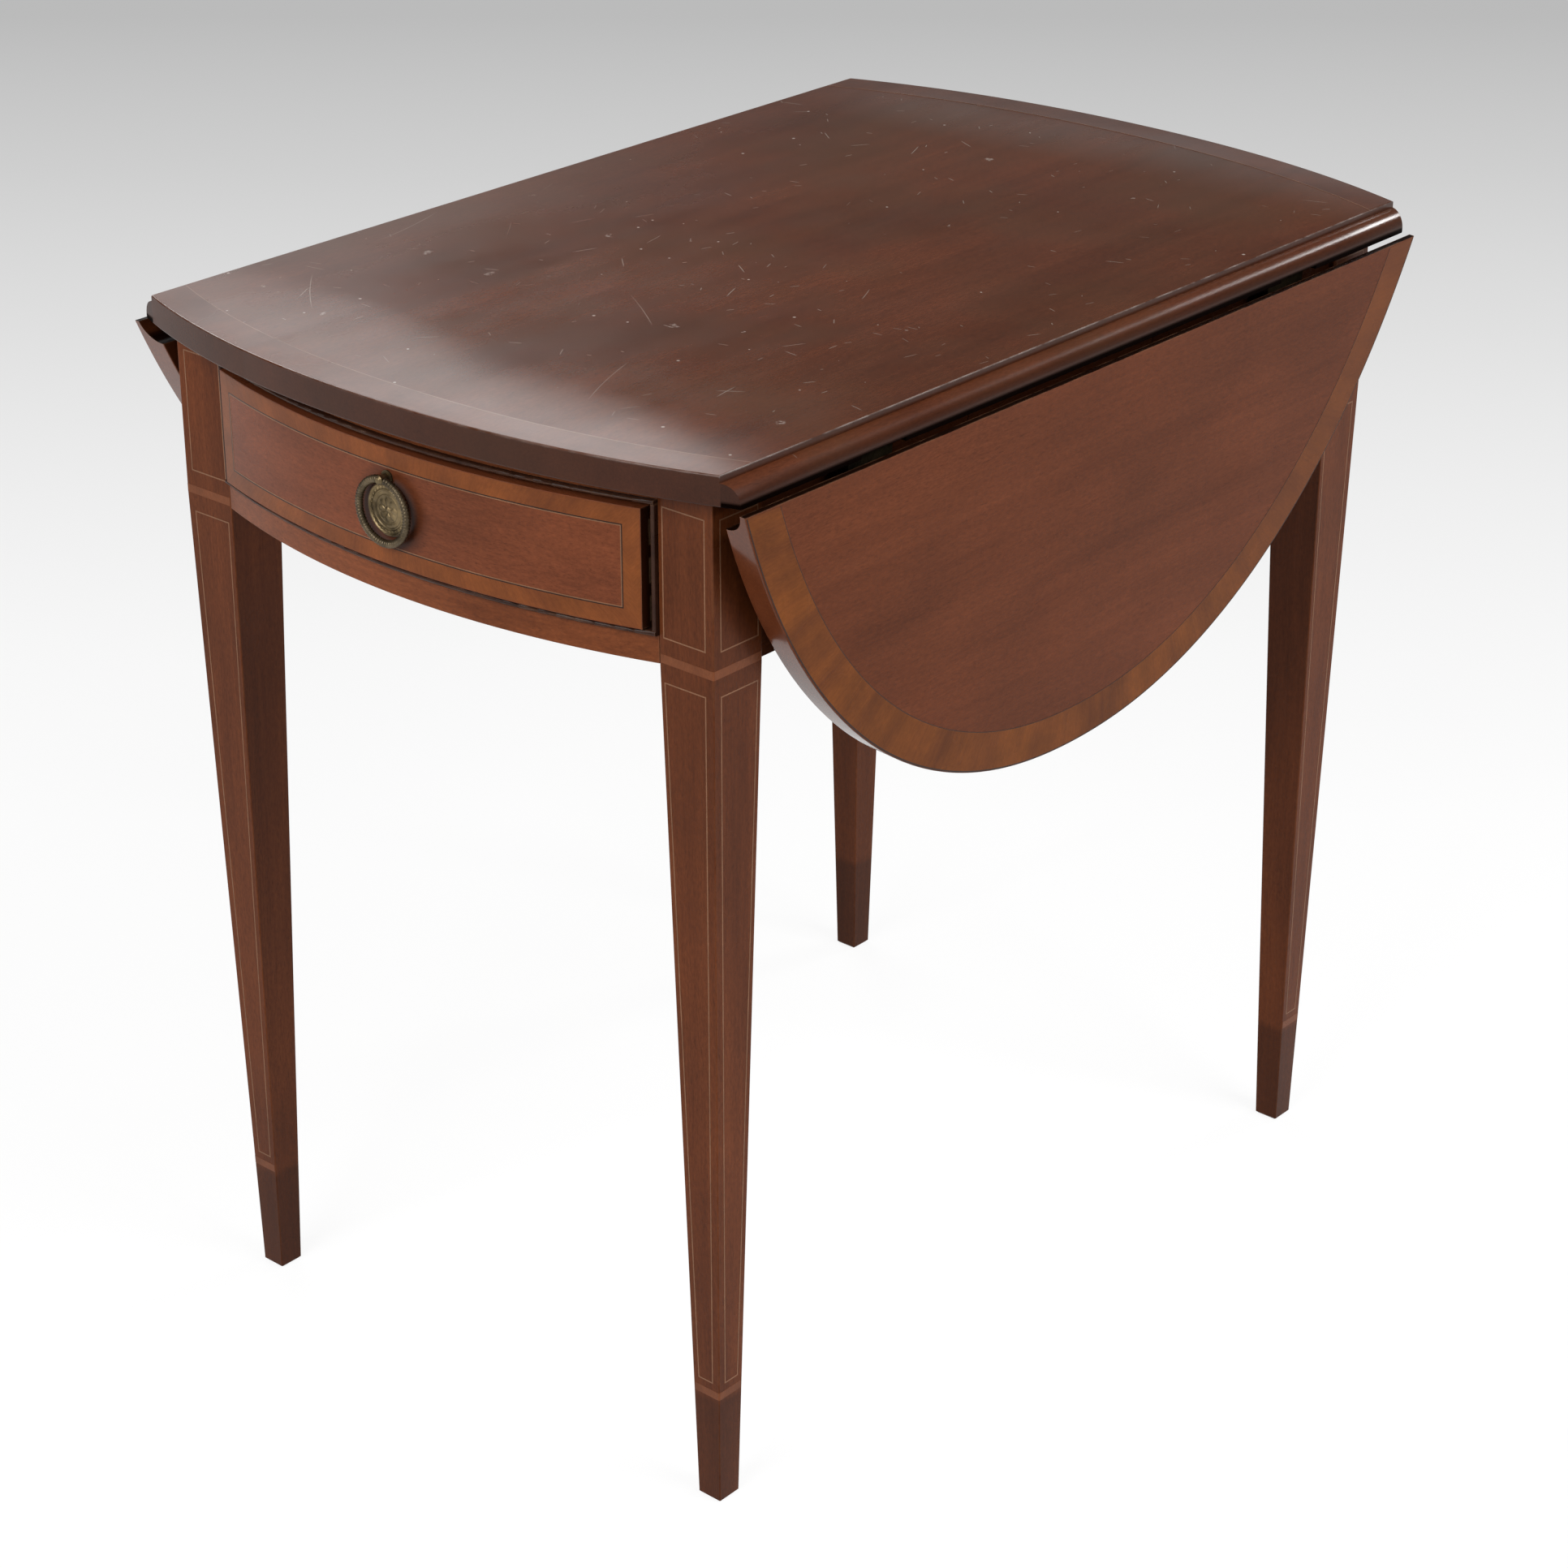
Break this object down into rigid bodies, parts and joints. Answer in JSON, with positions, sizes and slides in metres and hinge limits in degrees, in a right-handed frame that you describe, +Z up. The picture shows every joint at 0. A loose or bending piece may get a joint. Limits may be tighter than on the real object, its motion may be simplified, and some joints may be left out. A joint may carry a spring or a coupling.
{
  "type": "pembroke table",
  "caption": "Oval drop-leaf side table on square tapered legs, with hinged hanging leaves, swinging fly brackets and a bowed frieze drawer with a ring pull.",
  "frame": {"origin": "on the floor below the middle of the top", "axes": "+Z up, the drawer faces -Y, the leaves hang at -X and +X"},
  "size_m": [0.5228, 0.772, 0.724],
  "materials": {
    "top_mahogany": "worn satin polish",
    "leaf_mahogany": "satin polish",
    "frame_mahogany": "satin polish",
    "drawer_mahogany": "satin polish",
    "bead_mahogany": "dark satin polish",
    "secondary_oak": "bare planed wood",
    "pull_brass": "aged and dulled",
    "hinge_brass": "aged",
    "steel": "plain"
  },
  "bodies": {
    "frame": {"top_board": "top_mahogany", "leg_front_left": "frame_mahogany", "leg_front_right": "frame_mahogany", "leg_back_left": "frame_mahogany", "leg_back_right": "frame_mahogany", "side_rail_left": "secondary_oak", "side_rail_right": "secondary_oak", "outer_rail_front_left": "frame_mahogany", "outer_rail_front_right": "frame_mahogany", "outer_rail_back_left": "frame_mahogany", "outer_rail_back_right": "frame_mahogany", "fly_pin_left": "steel", "fly_pin_right": "steel", "back_rail": "frame_mahogany", "front_rail": "frame_mahogany", "top_rail": "frame_mahogany", "bead_top": "bead_mahogany", "bead_bottom": "bead_mahogany", "bead_left": "bead_mahogany", "bead_right": "bead_mahogany", "drawer_runner_left": "secondary_oak", "drawer_runner_right": "secondary_oak", "drawer_kicker_left": "secondary_oak", "drawer_kicker_right": "secondary_oak", "drawer_stops": "secondary_oak", "glue_blocks": "secondary_oak", "top_screws": "steel", "hinge_top_plates_left": "hinge_brass", "hinge_top_plates_right": "hinge_brass", "hinge_pins_left": "steel", "hinge_pins_right": "steel", "hinge_top_screws": "steel"},
    "leaf_right": {"leaf_board_right": "leaf_mahogany", "hinge_leaf_plates_right": "hinge_brass", "hinge_leaf_screws_right": "steel"},
    "leaf_left": {"leaf_board_left": "leaf_mahogany", "hinge_leaf_plates_left": "hinge_brass", "hinge_leaf_screws_left": "steel"},
    "fly_right": {"fly_bracket_right": "frame_mahogany"},
    "fly_left": {"fly_bracket_left": "frame_mahogany"},
    "drawer": {"drawer_front": "drawer_mahogany", "drawer_side_left": "secondary_oak", "drawer_side_right": "secondary_oak", "drawer_back": "secondary_oak", "drawer_bottom": "secondary_oak", "pull_rosette": "pull_brass", "pull_post": "pull_brass", "pull_nut": "steel"},
    "pull_ring": {"pull_ring": "pull_brass"}
  },
  "joints": [
    {"name": "leaf_right_hinge", "type": "hinge", "parent": "frame", "child": "leaf_right", "pos_m": [0.2425, 0, 0.705], "axis": [0, -1, 0], "range_deg": [0, 94.5]},
    {"name": "leaf_left_hinge", "type": "hinge", "parent": "frame", "child": "leaf_left", "pos_m": [-0.2425, 0, 0.705], "axis": [0, 1, 0], "range_deg": [0, 94.5]},
    {"name": "fly_right_swing", "type": "hinge", "parent": "frame", "child": "fly_right", "pos_m": [0.2165, 0.1, 0.648], "axis": [0, 0, 1], "range_deg": [0, 3.4]},
    {"name": "fly_left_swing", "type": "hinge", "parent": "frame", "child": "fly_left", "pos_m": [-0.2165, 0.1, 0.648], "axis": [0, 0, -1], "range_deg": [0, 3.4]},
    {"name": "drawer_slide", "type": "slide", "parent": "frame", "child": "drawer", "axis": [0, -1, 0], "range_m": [0, 0.3]},
    {"name": "pull_ring_swing", "type": "hinge", "parent": "drawer", "child": "pull_ring", "pos_m": [0, -0.3784, 0.67], "axis": [-1, 0, 0], "range_deg": [0, 95]}
  ]
}
